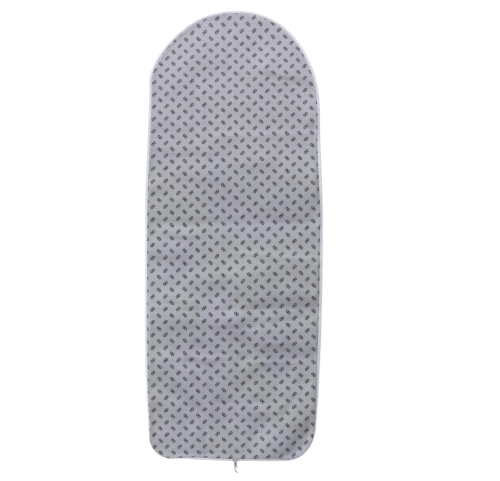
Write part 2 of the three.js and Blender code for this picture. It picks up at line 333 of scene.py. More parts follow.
def open_cell_foam():
    """Pale foam with small open pores, with painted shade in their hollows."""
    pale, paler, pore_shade_brown = rgb(0.62, 0.58, 0.46), rgb(0.70, 0.66, 0.55), rgb(0.36, 0.32, 0.22)
    finish = Finish("open_cell_foam")
    place = finish.object_place()
    cells = finish.add("ShaderNodeTexVoronoi", {"feature": "F1"}, Vector=place, Scale=700.0)
    wall = finish.ramp(cells.outputs["Distance"], low=0.1, high=0.6)
    foam = finish.mix(finish.noise(place, scale=9.0, detail=3.0), pale, paler)
    # Painted shade: each cell's hollow middle is darkened towards brown.
    painted_pore_shade = finish.ramp(wall, low=0.0, high=1.0, to_low=0.45, to_high=0.0)
    finish.surface(Base_Color=finish.mix(painted_pore_shade, foam, pore_shade_brown), Roughness=0.95, Specular_IOR_Level=0.15)
    finish.bump(wall, strength=0.5, distance=0.0004)
    return finish.material


def white_tape():
    """White woven tape with fine ribs across it, with painted shade in the grooves between them."""
    blue_white, white = rgb(0.54, 0.555, 0.613), rgb(0.60, 0.61, 0.658)
    groove_shade_grey = rgb(0.45, 0.47, 0.54)
    finish = Finish("white_tape")
    ribs = finish.above_zero(finish.wave(finish.coordinate(finish.uv("tape"), "Y"), RIB_PITCH))
    cloth = finish.mix(finish.noise(finish.object_place(), scale=30.0, detail=3.0), blue_white, white)
    # Painted shade: the grooves between the ribs are darkened towards grey.
    painted_groove_shade = finish.ramp(ribs, low=0.0, high=0.4, to_low=0.25, to_high=0.0)
    finish.surface(Base_Color=finish.mix(painted_groove_shade, cloth, groove_shade_grey), Roughness=0.7,
                   Specular_IOR_Level=0.3, Sheen_Weight=0.15)
    finish.bump(ribs, strength=0.3, distance=0.0002)
    return finish.material


def braided_cord():
    """Grey cord of strands that cross each other on a slant, with painted shade in the gaps between them.
    """
    grey, pale_grey = rgb(0.20, 0.20, 0.24), rgb(0.28, 0.28, 0.33)
    fibre_grey, gap_shade_grey = rgb(0.15, 0.15, 0.18), rgb(0.11, 0.11, 0.14)
    finish = Finish("braided_cord")
    place = finish.object_place()
    over = finish.wave(finish.vector("DOT_PRODUCT", place, (1, 1, BRAID_SLANT)), BRAID_PITCH)
    under = finish.wave(finish.vector("DOT_PRODUCT", place, (-1, 1, -BRAID_SLANT)), BRAID_PITCH)
    bulge = finish.above_zero(finish.math("MULTIPLY", over, under))
    cloth = finish.mix(finish.noise(place, scale=260.0), grey, pale_grey)
    fibre = finish.ramp(finish.noise(place, scale=5000.0), low=0.35, high=0.7, to_high=0.3)
    cloth = finish.mix(fibre, cloth, fibre_grey)
    # Painted shade: the gaps between the strands are darkened.
    painted_gap_shade = finish.ramp(bulge, low=0.05, high=0.45, to_low=0.5, to_high=0.0)
    finish.surface(Base_Color=finish.mix(painted_gap_shade, cloth, gap_shade_grey), Roughness=0.8,
                   Specular_IOR_Level=0.25, Sheen_Weight=0.2)
    finish.bump(bulge, strength=0.7, distance=0.0004)
    return finish.material


def sewing_thread():
    """White thread, slightly fuzzy."""
    blue_white, white = rgb(0.55, 0.56, 0.61), rgb(0.63, 0.64, 0.68)
    finish = Finish("sewing_thread")
    place = finish.object_place()
    cloth = finish.mix(finish.noise(place, scale=500.0), blue_white, white)
    finish.surface(Base_Color=cloth, Roughness=0.5)
    finish.bump(finish.noise(place, scale=4000.0, detail=1.0), strength=0.3, distance=0.0001)
    return finish.material


FINISHES = {
    "printed_cotton": printed_cotton(),
    "foam": open_cell_foam(),
    "binding_tape": white_tape(),
    "cord": braided_cord(),
    "thread": sewing_thread(),
}


# Pieces from meshes

MERGE_DISTANCE = 1e-7
CURVE_STEPS = 24


def make_piece(name, shape, slot, node_names=()):
    """A piece from a bmesh, with its finish, in place of the CAD nodes that it stands for."""
    for face in shape.faces:
        face.smooth = True
    piece = add_object(name, mesh_from(name, shape))
    piece.data.materials.append(FINISHES[slot])
    if node_names:
        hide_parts(*node_names)
    return piece


def of_kind(geometry, kind):
    return [item for item in geometry if isinstance(item, kind)]


def border(geometry):
    """The edges in some geometry that have a face on one side only."""
    return [edge for edge in of_kind(geometry, bmesh.types.BMEdge) if edge.is_boundary]


def swept_shape(rings, lengths, uv_name):
    """A closed tube through rings, an array of rings of points, with its ends filled. The map gives the
    share round the tube and the length along it."""
    count, sides = rings.shape[:2]
    shape = bmesh.new()
    bmesh.ops.create_grid(shape, x_segments=sides, y_segments=count - 1, size=1)
    shape.verts.ensure_lookup_table()
    uv = shape.loops.layers.uv.new(uv_name)
    for face in shape.faces:
        for loop in face.loops:
            row, column = divmod(loop.vert.index, sides + 1)
            loop[uv].uv = (column / sides, lengths[row])
    for index, vert in enumerate(shape.verts):
        row, column = divmod(index, sides + 1)
        vert.co = rings[row, column % sides]
    seam = [v for i, v in enumerate(shape.verts) if i % (sides + 1) in (0, sides)]
    bmesh.ops.remove_doubles(shape, verts=seam, dist=MERGE_DISTANCE)
    bmesh.ops.holes_fill(shape, edges=border(shape.edges))
    bmesh.ops.recalc_face_normals(shape, faces=shape.faces)
    return shape


def unit(directions):
    return directions / np.linalg.norm(directions, axis=-1, keepdims=True)


def run_lengths(points):
    """How far along a line of points each of them lies."""
    return np.concatenate([[0], np.cumsum(np.linalg.norm(np.diff(points, axis=0), axis=1))])


def points_at(places, lengths, points):
    """Points at places along a line of points, which lie at the given lengths."""
    return np.stack([np.interp(places, lengths, column) for column in points.T], -1)


def resample(points, spacing):
    """Evenly spaced points on a smooth curve through the given ones, and how far along it they lie."""
    points = np.asarray(points, float)
    ends = np.vstack([2 * points[0] - points[1], points, 2 * points[-1] - points[-2]])
    t = np.linspace(0, 1, CURVE_STEPS, endpoint=False)[:, None]
    fine = []
    for a, b, c, d in zip(ends[:-3], ends[1:-2], ends[2:-1], ends[3:]):
        fine.append(0.5 * (2 * b + (c - a) * t + (2 * a - 5 * b + 4 * c - d) * t ** 2
                           + (3 * b - a - 3 * c + d) * t ** 3))
    fine = np.vstack([*fine, points[-1:]])
    lengths = run_lengths(fine)
    places = np.linspace(0, lengths[-1], max(2, round(lengths[-1] / spacing) + 1))
    return points_at(places, lengths, fine), places


def tube_rings(path, radii, sides):
    """Rings of points round a path, turned as little as possible from one to the next."""
    tangents = unit(np.gradient(path, axis=0))
    side = np.cross(tangents[0], (0, 0, 1.0))
    angles = 2 * np.pi * np.arange(sides)[:, None] / sides
    rings = []
    for point, tangent, radius in zip(path, tangents, np.broadcast_to(radii, len(path))):
        side = unit(side - tangent * (side @ tangent))
        over = np.cross(side, tangent)
        rings.append(point + radius * (np.cos(angles) * side + np.sin(angles) * over))
    return np.array(rings)


# Outline

BEZIER_STEPS = 500
MOUTH_STEPS = 20
TANGENT_STEP = 0.001


def cubic_weights(t):
    """Shares that a cubic curve takes of its start, its two handles and its end."""
    return (1 - t) ** 3, 3 * (1 - t) ** 2 * t, 3 * (1 - t) * t ** 2, t ** 3


def bezier(start, start_handle, end_handle, end):
    weights = cubic_weights(np.linspace(0, 1, BEZIER_STEPS, endpoint=False)[:, None])
    return sum(weight * point for weight, point in zip(weights, (start, start_handle, end_handle, end)))


def half_outline(edge):
    """The outline's points on one side, from the middle of the mouth to the end of the nose's flat."""
    side, run, rise = edge["side"], edge["corner_run"], edge["corner_rise"]
    half, nose_y, tail_y = WIDTH / 2, LENGTH / 2, -LENGTH / 2
    tail_half = half - edge["tail_setback"]
    corner_y = tail_y + edge["tail_bow"]
    middle = np.array([MOUTH_X, tail_y])
    mouth = np.array([MOUTH_X + side * MOUTH_HALF, tail_y])
    corner_start = np.array([side * (tail_half - run), corner_y])
    corner_end = np.array([side * tail_half, corner_y + rise])
    widest = np.array([side * half, nose_y - WIDEST_FROM_NOSE])
    shoulder = np.array([side * (half - edge["shoulder_setback"]), nose_y - edge["shoulder_from_nose"]])
    tip = np.array([NOSE_SHIFT + side * NOSE_FLAT / 2, nose_y])
    across = np.array([side, 0.0])
    up = np.array([0.0, 1.0])
    lean = np.array([side * SIDE_LEAN, 1.0]) / math.hypot(SIDE_LEAN, 1)
    tail_third = abs(corner_start[0] - mouth[0]) / 3
    lower_third = (widest[1] - corner_end[1]) / 3
    upper_third = (shoulder[1] - widest[1]) / 3
    side_handle, tip_handle = edge["nose_side_handle"], edge["nose_tip_handle"]
    return np.vstack([
        middle + np.linspace(0, 1, MOUTH_STEPS, endpoint=False)[:, None] * (mouth - middle),
        bezier(mouth, mouth + across * tail_third, corner_start - across * tail_third, corner_start),
        bezier(corner_start, corner_start + across * ROUND * run,
               corner_end - lean * ROUND * rise, corner_end),
        bezier(corner_end, corner_end + lean * lower_third, widest - up * lower_third, widest),
        bezier(widest, widest + up * upper_third, shoulder - up * upper_third, shoulder),
        bezier(shoulder, shoulder + up * side_handle, tip + across * tip_handle, tip),
        tip[None],
    ])


class Outline:
    """The cover's edge seen from above, anticlockwise by length from the middle of the mouth."""

    def __init__(self):
        self.points = np.vstack([half_outline(RIGHT_EDGE), half_outline(LEFT_EDGE)[::-1]])
        self.places = run_lengths(self.points)
        self.length = self.places[-1]

    def point(self, places):
        return points_at(np.mod(places, self.length), self.places, self.points)

    def inward(self, places):
        """The flat direction into the cover, square to the edge."""
        ahead = unit(self.point(places + TANGENT_STEP) - self.point(places - TANGENT_STEP))
        return np.stack([-ahead[..., 1], ahead[..., 0]], -1)

    def nearest(self, x, y):
        """The place along the edge that is nearest to a point."""
        return self.places[np.argmin(np.hypot(self.points[:, 0] - x, self.points[:, 1] - y))]


outline = Outline()


def spread(places, inset, height):
    """Points at a distance in from the outline, and at a height."""
    flat = outline.point(places) + outline.inward(places) * np.asarray(inset)[..., None]
    return np.concatenate([flat, np.broadcast_to(height, flat.shape[:-1])[..., None]], -1)


# Cords first: the two ends of the drawcord

LEFT_CORD_ROUTE = [
    (-0.0090, -0.6426, 0.0024), (-0.0060, -0.6426, 0.0024), (-0.0032, -0.6426, 0.0024),
    (-0.00113, -0.64287, 0.00257), (0.0008, -0.64367, 0.00305), (0.00246, -0.64494, 0.0037),
    (0.00373, -0.6466, 0.00435), (0.00453, -0.64853, 0.00483), (0.0048, -0.6506, 0.0050),
    (0.0045, -0.6526, 0.0049), (0.0038, -0.6548, 0.0044), (0.0033, -0.6566, 0.0039),
    (0.0032, -0.6580, 0.0035), (0.0032, -0.6600, 0.0030), (0.0034, -0.6634, 0.0022),
    (0.0039, -0.6684, 0.00165), (0.0056, -0.6729, 0.00165), (0.0084, -0.6761, 0.00165),
    (0.0120, -0.6775, 0.00165),
]
RIGHT_CORD_ROUTE = [
    (0.0190, -0.6426, 0.0024), (0.0160, -0.6426, 0.0024), (0.0132, -0.6426, 0.0024),
    (0.01113, -0.64287, 0.00237), (0.0092, -0.64367, 0.00229), (0.00754, -0.64494, 0.00218),
    (0.00627, -0.6466, 0.00206), (0.00547, -0.64853, 0.00198), (0.0052, -0.6506, 0.00195),
    (0.0055, -0.6526, 0.0021), (0.0062, -0.6548, 0.0026), (0.0067, -0.6566, 0.0031),
    (0.0069, -0.6578, 0.0032), (0.0073, -0.6592, 0.0030), (0.0086, -0.6611, 0.0024),
    (0.0108, -0.6621, 0.0018),
]
CORD_SPACING = 0.0004
CORD_SIDES = 14
CORD_TIP_TAPER = 0.003
CORD_TIP_SHARE = 0.7


def make_cord_end(name, route, node_names):
    """One end of the drawcord from inside the casing, through the knot, to its worn tip."""
    path, lengths = resample(route, CORD_SPACING)
    tip = np.clip((lengths[-1] - lengths) / CORD_TIP_TAPER, 0, 1)
    radii = CORD_RADIUS * (CORD_TIP_SHARE + (1 - CORD_TIP_SHARE) * tip)
    shape = swept_shape(tube_rings(path, radii, CORD_SIDES), lengths, "cord")
    piece = make_piece(name, shape, "cord", node_names)
    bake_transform(piece)
    return piece, path, lengths[-1]


KNOT_TURNS = 2.75
KNOT_START_ANGLE = math.radians(200)
KNOT_UPPER_WIDTH = 0.0032
KNOT_LOWER_WIDTH = 0.0023
KNOT_DEPTH = 0.0027
KNOT_SLANT = 0.0006
KNOT_CORD_RADIUS = 0.00135
KNOT_TUCK = 0.55
KNOT_TUCK_SHARE = 0.1
KNOT_STEPS = 60


def make_knot():
    """The cord's wraps round its own two ends, tucked in at the start and finish."""
    t = np.linspace(0, 1, KNOT_STEPS)
    angle = 2 * np.pi * KNOT_TURNS * t + KNOT_START_ANGLE
    from_end = np.minimum(t, 1 - t) / KNOT_TUCK_SHARE
    tuck = 1 - KNOT_TUCK * np.clip(1 - from_end, 0, 1)
    width = KNOT_UPPER_WIDTH + (KNOT_LOWER_WIDTH - KNOT_UPPER_WIDTH) * t
    run = KNOT_LENGTH - 2 * KNOT_CORD_RADIUS
    route = np.stack([
        MOUTH_X + width * tuck * np.cos(angle),
        KNOT_TOP_Y - KNOT_CORD_RADIUS - t * run + KNOT_SLANT * np.sin(angle),
        KNOT_HEIGHT + KNOT_DEPTH * tuck * np.sin(angle),
    ], -1)
    path, lengths = resample(route, CORD_SPACING)
    shape = swept_shape(tube_rings(path, KNOT_CORD_RADIUS, CORD_SIDES), lengths, "cord")
    return make_piece("cord_knot", shape, "cord", ["end_knot"])


FRAY_STRANDS = 16
FRAY_LENGTH = 0.0028
FRAY_SPLAY = 0.5
FRAY_CURL = 0.35
FRAY_RADIUS = 0.00022
FRAY_ROOT = 0.0012
FRAY_STEPS = 8
FRAY_SIDES = 5
FRAY_THINNING = 0.75
FRAY_LOOK_BACK = 6
# Chance in a strand: its shift as a share of the gap to the next, and the least and most share of each size
FRAY_SHIFT = 0.4
FRAY_REACHES = (0.2, 0.75)
FRAY_LENGTHS = (0.55, 1.0)
FRAY_SPLAYS = (0.3, 1.0)
LEFT_FRAY_SEED = 21
RIGHT_FRAY_SEED = 22


def make_fray(name, path, seed):
    """Loose strands that spread from a cord's cut end, and stay above the surface it lies on."""
    random = np.random.default_rng(seed)
    end = path[-1]
    ahead = unit(end - path[-FRAY_LOOK_BACK])
    side = unit(np.cross(ahead, (0, 0, 1.0)))
    over = np.cross(side, ahead)
    t = np.linspace(0, 1, FRAY_STEPS)[:, None]
    shape = bmesh.new()
    for strand in range(FRAY_STRANDS):
        angle = 2 * np.pi * (strand + random.uniform(-FRAY_SHIFT, FRAY_SHIFT)) / FRAY_STRANDS
        out = math.cos(angle) * side + math.sin(angle) * over
        reach = random.uniform(*FRAY_REACHES) * CORD_RADIUS * CORD_TIP_SHARE
        length = FRAY_LENGTH * random.uniform(*FRAY_LENGTHS)
        splay = FRAY_SPLAY * random.uniform(*FRAY_SPLAYS)
        curl = FRAY_CURL * random.normal() * side
        line = end - ahead * FRAY_ROOT + out * reach + t * (length + FRAY_ROOT) * ahead
        line = line + length * t ** 2 * (splay * out + curl)
        line[:, 2] = np.maximum(line[:, 2], FRAY_RADIUS)
        radii = FRAY_RADIUS * (1 - FRAY_THINNING * t[:, 0])
        lengths = t[:, 0] * length
        mesh = mesh_from("strand", swept_shape(tube_rings(line, radii, FRAY_SIDES), lengths, "cord"))
        shape.from_mesh(mesh)
        bpy.data.meshes.remove(mesh)
    piece = make_piece(name, shape, "cord")
    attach(piece, "cord_ends")
    return piece


knot = make_knot()
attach(knot, "cord_ends")
left_cord, left_path, left_length = make_cord_end("left_cord_end", LEFT_CORD_ROUTE,
                                                  ["left_cord_leg", "long_tail"])
right_cord, right_path, right_length = make_cord_end("right_cord_end", RIGHT_CORD_ROUTE,
                                                     ["right_cord_leg", "short_tail"])
left_fray = make_fray("left_cord_fray", left_path, LEFT_FRAY_SEED)
right_fray = make_fray("right_cord_fray", right_path, RIGHT_FRAY_SEED)


# Relief of the cloth: fold lines from its packing, creases and soft humps

# Broad folds: the points of the crest, how far the fold reaches to the crest's left and right, height
FOLDS = [
    # towards the nose
    (((0.105, 0.478), (0.215, 0.446)), 0.120, 0.030, 0.0034),
    (((-0.230, 0.250), (-0.070, 0.243)), 0.060, 0.026, 0.0016),
    (((0.050, 0.222), (0.080, 0.220)), 0.090, 0.074, 0.0040),
    (((-0.150, 0.180), (-0.060, 0.172)), 0.050, 0.036, 0.0024),
    # beside the right edge
    (((0.240, 0.335), (0.270, 0.330)), 0.110, 0.036, 0.0046),
    (((0.285, 0.125), (0.315, 0.120)), 0.170, 0.076, 0.0128),
    (((0.262, 0.022), (0.290, 0.020)), 0.050, 0.036, 0.0064),
    # from the left edge, from the middle down
    (((-0.275, 0.145), (-0.235, 0.140)), 0.036, 0.024, 0.0040),
    (((-0.165, 0.004), (-0.125, 0.000)), 0.030, 0.020, 0.0030),
    (((-0.260, -0.044), (-0.170, -0.050)), 0.040, 0.030, 0.0030),
    (((-0.265, -0.236), (-0.190, -0.232)), 0.150, 0.210, 0.0098),
    (((-0.265, -0.240), (-0.160, -0.234)), 0.110, 0.070, 0.0036),
    (((-0.265, -0.376), (-0.200, -0.372)), 0.065, 0.120, 0.0050),
    # middle and right edge
    (((-0.070, -0.130), (0.055, -0.138)), 0.075, 0.052, 0.0050),
    (((-0.110, -0.236), (-0.056, -0.238)), 0.090, 0.075, 0.0048),
    (((0.080, -0.150), (0.270, -0.146)), 0.200, 0.074, 0.0088),
    (((0.014, -0.256), (0.090, -0.288)), 0.180, 0.056, 0.0098),
    (((0.130, -0.300), (0.235, -0.302)), 0.180, 0.064, 0.0056),
    # towards the tail
    (((-0.152, -0.404), (-0.096, -0.472)), 0.050, 0.034, 0.0108),
    (((-0.082, -0.400), (-0.062, -0.436)), 0.036, 0.024, 0.0056),
    (((-0.225, -0.470), (-0.190, -0.504)), 0.060, 0.030, 0.0050),
    (((-0.265, -0.530), (-0.200, -0.545)), 0.100, 0.080, 0.0024),
    (((-0.115, -0.352), (-0.070, -0.357), (-0.025, -0.357)), 0.022, 0.018, 0.0024),
    (((0.008, -0.378), (0.030, -0.378)), 0.036, 0.046, 0.0036),
    (((0.050, -0.510), (0.114, -0.508), (0.165, -0.454)), 0.060, 0.024, 0.0034),
    (((0.118, -0.613), (0.215, -0.500), (0.252, -0.446)), 0.080, 0.038, 0.0112),
]
# Thin creases: start, end, reach to the left and to the right, height (below zero for a valley)
CREASES = [
    # fold lines across, from the nose down
    ((-0.060, 0.284), (0.232, 0.292), 0.007, 0.012, 0.0018),
    ((-0.245, 0.034), (0.245, 0.040), 0.020, 0.022, -0.0042),
    ((-0.010, -0.048), (0.240, -0.070), 0.008, 0.012, 0.0020),
    ((-0.030, -0.2145), (0.248, -0.2075), 0.022, 0.010, -0.0018),
    ((-0.252, -0.2125), (-0.010, -0.2145), 0.012, 0.008, -0.0014),
    ((0.045, -0.2610), (0.246, -0.2260), 0.014, 0.010, -0.0018),
    ((-0.060, -0.2680), (0.070, -0.2590), 0.010, 0.010, -0.0010),
    ((0.045, -0.361), (0.226, -0.364), 0.007, 0.011, 0.0020),
    ((-0.070, -0.474), (0.105, -0.478), 0.012, 0.010, -0.0020),
    ((-0.252, -0.188), (-0.160, -0.198), 0.006, 0.006, -0.0018),
    # fold lines along
    ((-0.019, 0.610), (-0.013, 0.440), 0.005, 0.005, -0.0018),
    ((-0.109, 0.470), (-0.111, 0.260), 0.008, 0.006, -0.0018),
    ((-0.094, 0.450), (-0.088, 0.275), 0.006, 0.006, 0.0012),
    ((-0.082, -0.535), (-0.080, -0.650), 0.004, 0.005, -0.0026),
]
# Soft humps: middle, reach along X and Y, turn in degrees, height
HUMPS = [
    ((-0.170, 0.440), (0.030, 0.050), -30, 0.0034),
    ((0.170, 0.130), (0.060, 0.050), 0, 0.0024),
    ((0.040, -0.560), (0.070, 0.040), 20, 0.0020),
    ((-0.150, -0.575), (0.060, 0.030), -10, 0.0034),
    ((0.020, 0.150), (0.120, 0.040), 3, 0.0026),
]
FOLD_FADE_PER_HEIGHT = 14
FOLD_LEAST_FADE = 0.060
FOLD_MOST_FADE = 0.120
FOLD_WANDER = 0.005
FOLD_UNEVENNESS = 0.12
CREASE_FADE = 0.025
CREASE_ROUNDING = 0.0018
RELIEF_NOISE = 0.0013
FINE_AT_NOSE = 0.20
FINE_AT_TAIL = 0.75
FINE_FROM_Y = 0.10
FINE_RUN = 0.50
RELIEF_BASE = 0.0008
RELIEF_LOWEST = -0.0030
RELIEF_HIGHEST = 0.0130
RELIEF_SOFTENING = 0.0010
# Soft noises: seed, size of their waves along X and Y
BROAD_NOISE = (5, 0.35, 0.22)
FINE_NOISE = (6, 0.12, 0.08)
WANDER_X_NOISE = (7, 0.16, 0.16)
WANDER_Y_NOISE = (8, 0.16, 0.16)
UNEVEN_NOISE = (9, 0.16, 0.16)
NOISE_WAVES = 40


def line_place(x, y, start, end):
    """How far points lie along a line, to the left of it, and past its ends."""
    run = np.subtract(end, start)
    length = math.hypot(*run)
    along = ((x - start[0]) * run[0] + (y - start[1]) * run[1]) / length
    beside = ((y - start[1]) * run[0] - (x - start[0]) * run[1]) / length
    return along, beside, np.maximum(0, np.maximum(-along, along - length))


def fading(share):
    """From 1 where a share is none to 0 where it is full, with rounded ends."""
    return 0.5 + 0.5 * np.cos(np.pi * np.minimum(share, 1))


def fold_height(x, y, crest, left, right, height):
    """A broad fold with rounded flanks, along a line of points: each place follows its nearest stretch."""
    run_out = np.clip(FOLD_FADE_PER_HEIGHT * height, FOLD_LEAST_FADE, FOLD_MOST_FADE)
    share = np.zeros_like(x)
    nearest = np.full_like(x, np.inf)
    for start, end in zip(crest[:-1], crest[1:]):
        _, beside, past = line_place(x, y, start, end)
        flank = fading(np.abs(beside) / np.where(beside > 0, left, right))
        distance = np.hypot(beside, past)
        share = np.where(distance < nearest, flank * fading(past / run_out), share)
        nearest = np.minimum(nearest, distance)
    return height * share


def crease_height(x, y, start, end, left, right, height):
    """A thin crease with a rounded crest along a line, which fades out towards its ends."""
    along, beside, _ = line_place(x, y, start, end)
    length = math.dist(start, end)
    past = np.maximum(0, np.maximum(CREASE_FADE - along, along - length + CREASE_FADE))
    away = np.sqrt(beside ** 2 + CREASE_ROUNDING ** 2) - CREASE_ROUNDING
    reach = np.where(beside > 0, left, right)
    return height * np.exp(-away / reach) * np.exp(-(past / CREASE_FADE) ** 2)


def hump_height(x, y, middle, reach, turn, height):
    """A soft rise, as where the cover doesn't lie flat."""
    c, s = math.cos(math.radians(turn)), math.sin(math.radians(turn))
    across, along = x - middle[0], y - middle[1]
    u = (across * c + along * s) / reach[0]
    v = (along * c - across * s) / reach[1]
    return height * np.exp(-(u ** 2 + v ** 2) / 2)


def soft_noise(x, y, seed, size_x, size_y):
    """A smooth unevenness, mostly between -1 and 1, made of waves of about the given sizes."""
    random = np.random.default_rng(seed)
    total = np.zeros_like(x)
    for _ in range(NOISE_WAVES):
        kx = random.normal(0, 2 * np.pi / size_x)
        ky = random.normal(0, 2 * np.pi / size_y)
        total += np.cos(kx * x + ky * y + random.uniform(0, 2 * np.pi))
    return total / math.sqrt(NOISE_WAVES)


def soft_positive(values):
    """The values, bent smoothly to zero where they are negative."""
    return (values + np.sqrt(values ** 2 + RELIEF_SOFTENING ** 2)) / 2


def relief(points):
    """Height of the cloth above its flat lie."""
    x, y = points[:, 0], points[:, 1]
    height = RELIEF_BASE + RELIEF_NOISE * soft_noise(x, y, *BROAD_NOISE)
    tailward = np.clip((FINE_FROM_Y - y) / FINE_RUN, 0, 1)
    fine = FINE_AT_NOSE + (FINE_AT_TAIL - FINE_AT_NOSE) * tailward
    height += fine * RELIEF_NOISE * soft_noise(x, y, *FINE_NOISE)
    wandered_x = x + FOLD_WANDER * soft_noise(x, y, *WANDER_X_NOISE)
    wandered_y = y + FOLD_WANDER * soft_noise(x, y, *WANDER_Y_NOISE)
    unevenness = 1 + FOLD_UNEVENNESS * soft_noise(x, y, *UNEVEN_NOISE)
    for fold in FOLDS:
        height += unevenness * fold_height(wandered_x, wandered_y, *fold)
    for crease in CREASES:
        height += crease_height(x, y, *crease)
    for hump in HUMPS:
        height += hump_height(x, y, *hump)
    height = RELIEF_LOWEST + soft_positive(height - RELIEF_LOWEST)
    return RELIEF_HIGHEST - soft_positive(RELIEF_HIGHEST - height)


# Hem

# Where along the hem, and by how many degrees it leans over towards the underside there
HEM_LEANS = [
    (0.030, -0.645, 46), (0.090, -0.645, 40), (0.150, -0.643, 56), (0.190, -0.630, 86),
    (0.222, -0.600, 92), (0.233, -0.560, 66), (0.240, -0.480, 62), (0.245, -0.410, 44),
    (0.249, -0.330, 24), (0.252, -0.230, 20), (0.254, -0.120, 26), (0.255, -0.020, 26),
    (0.255, 0.060, 48), (0.254, 0.140, 14), (0.251, 0.250, 8), (0.248, 0.307, 44),
    (0.246, 0.370, 32), (0.240, 0.450, 34), (0.225, 0.510, 12), (0.150, 0.600, 4),
    (0.060, 0.642, 9), (0.000, 0.645, 10), (-0.070, 0.638, 5), (-0.150, 0.595, 5),
    (-0.225, 0.505, 14), (-0.243, 0.420, 10), (-0.248, 0.280, 6), (-0.252, 0.170, 12),
    (-0.254, 0.050, 24), (-0.255, -0.150, 24), (-0.255, -0.300, 30), (-0.252, -0.430, 46),
    (-0.247, -0.530, 48), (-0.243, -0.575, 80), (-0.230, -0.612, 98), (-0.200, -0.635, 94),
    (-0.165, -0.639, 74), (-0.120, -0.640, 34), (-0.080, -0.641, 28), (-0.040, -0.643, 30),
    (-0.010, -0.645, 40),
]
HEM_STEPS = 2048
HEM_SMOOTHING = 0.018
HEM_RIPPLE = math.radians(5)
RIPPLE_SEED = 11
RIPPLE_LEAST_WAVES, RIPPLE_MOST_WAVES = 12, 89
HEM_TUCK = 0.6
HEM_HUMP = 0.020
HEM_LIFT_SHARE = 0.3
MOUTH_LEVEL = 0.030
MOUTH_LEVEL_FADE = 0.050


class Hem:
    """How the bound edge leans, and where its tape, cord and cloth lie."""

    def __init__(self):
        marks = sorted((outline.nearest(x, y), math.radians(lean)) for x, y, lean in HEM_LEANS)
        self.places = np.linspace(0, outline.length, HEM_STEPS, endpoint=False)
        leans = np.interp(self.places, *zip(*marks), period=outline.length)
        self.leans = self.smoothed(leans) + HEM_RIPPLE * self.ripple()
        beside = spread(self.places, HEM_HUMP, 0)
        lifts = np.maximum(0, relief(beside) - RELIEF_BASE)
        from_mouth = np.minimum(self.places, outline.length - self.places)
        free = np.clip((from_mouth - MOUTH_LEVEL) / MOUTH_LEVEL_FADE, 0, 1)
        self.lifts = HEM_LIFT_SHARE * self.smoothed(lifts * free)

    def smoothed(self, values):
        """The values round the hem, each averaged with those near it."""
        turns = np.fft.rfftfreq(HEM_STEPS, outline.length / HEM_STEPS)
        shares = np.exp(-2 * (np.pi * HEM_SMOOTHING * turns) ** 2)
        return np.fft.irfft(np.fft.rfft(values) * shares, HEM_STEPS)

    def ripple(self):
        """A gentle unevenness from -1 to 1, the same on each run."""
        random = np.random.default_rng(RIPPLE_SEED)
        waves = np.arange(RIPPLE_LEAST_WAVES, RIPPLE_MOST_WAVES + 1)
        phases = random.uniform(0, 2 * np.pi, len(waves))
        heights = random.normal(0, 1, len(waves)) / np.sqrt(waves)
        angles = 2 * np.pi * np.outer(self.places / outline.length, waves) + phases
        total = (np.cos(angles) * heights).sum(1)
        return total / np.abs(total).max()

    def lean(self, places):
        return np.interp(places, self.places, self.leans, period=outline.length)

    def lift(self, places):
        """How far the hem rises where a fold runs out over it."""
        return np.interp(places, self.places, self.lifts, period=outline.length)

    def section(self, places, along, above):
        """Inset and height of a place in the hem: along leads from the cord towards the cover's middle, and
        above towards the side that the face is on."""
        lean = self.lean(places)
        tuck = HEM_TUCK * LEAF_LENGTH * np.maximum(0, -np.cos(lean))
        inset = BEAD_RADIUS + tuck + along * np.cos(lean) - above * np.sin(lean)
        return inset, BEAD_RADIUS + self.lift(places) + along * np.sin(lean) + above * np.cos(lean)

    def points(self, places, along, above):
        return spread(places, *self.section(places, along, above))


hem = Hem()


# Sheets: the printed face and the foam behind it

GRID_CORNERS = [(-0.225, -0.617), (0.205, -0.617), (0.170, 0.575), (-0.170, 0.575)]
HINGE_PAST_TAPE = 0.00008
HINGE = LEAF_LENGTH + HINGE_PAST_TAPE
HEM_RISE = 0.003
HEM_PUFF = 0.0010
HEM_FALL = 0.006
HUMP_STEPS = 8
STRIP_STEPS = 3


def loop_stations(columns, rows):
    """Places along the outline of the grid's edge points, anticlockwise from its lower left corner."""
    corners = [outline.nearest(x, y) for x, y in GRID_CORNERS]
    corners[0] -= outline.length
    corners.append(corners[0] + outline.length)
    counts = (columns, rows, columns, rows)
    return np.concatenate([np.linspace(a, b, n, endpoint=False)
                           for a, b, n in zip(corners[:-1], corners[1:], counts)])


def grid_stations(columns, rows):
    """For each point of a grid, row by row, its number in the edge loop, or -1 inside."""
    numbers = np.full((rows + 1, columns + 1), -1)
    numbers[0, :] = np.arange(columns + 1)
    numbers[:, columns] = columns + np.arange(rows + 1)
    numbers[rows, :] = columns + rows + np.arange(columns, -1, -1)
    numbers[1:, 0] = 2 * columns + rows + np.arange(rows - 1, -1, -1)
    return numbers


def grid_inside(edge, columns, rows):
    """Flat points of a grid whose edge is the given loop, spread smoothly between its four sides."""
    numbers = grid_stations(columns, rows)
    bottom, top = edge[numbers[0]], edge[numbers[-1]]
    left, right = edge[numbers[:, 0]], edge[numbers[:, -1]]
    u = np.linspace(0, 1, columns + 1)[None, :, None]
    v = np.linspace(0, 1, rows + 1)[:, None, None]
    corners = ((1 - u) * (1 - v) * bottom[0] + u * (1 - v) * bottom[-1]
               + (1 - u) * v * top[0] + u * v * top[-1])
    return (1 - v) * bottom + v * top + (1 - u) * left[:, None] + u * right[:, None] - corners


